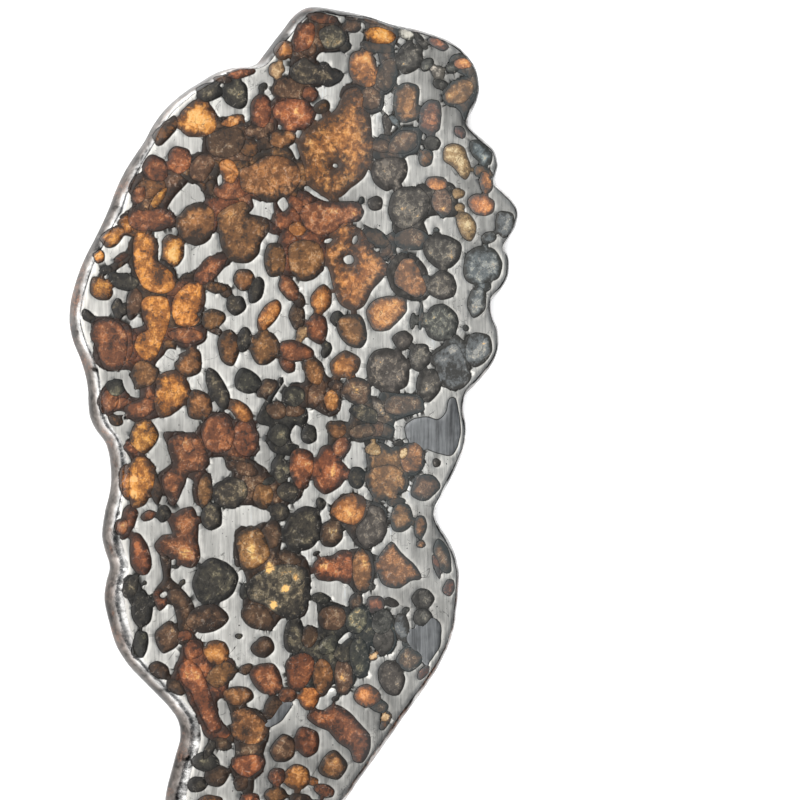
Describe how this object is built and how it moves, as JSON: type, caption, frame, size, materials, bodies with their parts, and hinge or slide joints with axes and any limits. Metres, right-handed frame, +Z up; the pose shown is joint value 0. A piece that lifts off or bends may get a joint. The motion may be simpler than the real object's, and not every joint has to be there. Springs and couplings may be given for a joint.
{
  "type": "pallasite meteorite slice",
  "caption": "Cut and polished slice of stony-iron meteorite: a bright iron-nickel plate with amber to black olivine crystals grown through it, lying on its back face.",
  "frame": {"origin": "middle of the slice's outline, on the flat back face that it lies on", "axes": "+X across the slice, +Y along it towards its broad blunt end, +Z up out of the polished face"},
  "size_m": [0.0794, 0.1448, 0.0045],
  "materials": {
    "iron": "ground and polished iron-nickel with fine straight grinding lines",
    "gold": "polished pale gold olivine, glittering inside",
    "amber": "polished amber olivine, glowing core and dark rim",
    "rust": "polished red-brown olivine",
    "brown": "polished brown olivine",
    "dark": "polished black-green olivine",
    "slate": "polished blue-grey olivine"
  },
  "bodies": {
    "root": {"iron_nickel_plate": "iron", "gold_crystal_1": "gold", "gold_crystal_2": "gold", "amber_crystal_1": "amber", "amber_crystal_2": "amber", "amber_crystal_3": "amber", "amber_crystal_4": "amber", "amber_crystal_5": "amber", "amber_crystal_6": "amber", "amber_crystal_7": "amber", "amber_crystal_8": "amber", "amber_crystal_9": "amber", "amber_crystal_10": "amber", "amber_crystal_11": "amber", "amber_crystal_12": "amber", "amber_crystal_13": "amber", "amber_crystal_14": "amber", "rust_crystal_1": "rust", "rust_crystal_2": "rust", "rust_crystal_3": "rust", "rust_crystal_4": "rust", "rust_crystal_5": "rust", "rust_crystal_6": "rust", "rust_crystal_7": "rust", "rust_crystal_8": "rust", "rust_crystal_9": "rust", "rust_crystal_10": "rust", "rust_crystal_11": "rust", "rust_crystal_12": "rust", "brown_crystal_1": "brown", "brown_crystal_2": "brown", "brown_crystal_3": "brown", "brown_crystal_4": "brown", "brown_crystal_5": "brown", "brown_crystal_6": "brown", "brown_crystal_7": "brown", "brown_crystal_8": "brown", "brown_crystal_9": "brown", "brown_crystal_10": "brown", "brown_crystal_11": "brown", "brown_crystal_12": "brown", "brown_crystal_13": "brown", "dark_crystal_1": "dark", "dark_crystal_2": "dark", "dark_crystal_3": "dark", "dark_crystal_4": "dark", "dark_crystal_5": "dark", "dark_crystal_6": "dark", "dark_crystal_7": "dark", "dark_crystal_8": "dark", "dark_crystal_9": "dark", "dark_crystal_10": "dark", "dark_crystal_11": "dark", "dark_crystal_12": "dark", "dark_crystal_13": "dark", "dark_crystal_14": "dark", "dark_crystal_15": "dark", "dark_crystal_16": "dark", "slate_crystal_1": "slate", "slate_crystal_2": "slate"}
  },
  "joints": []
}
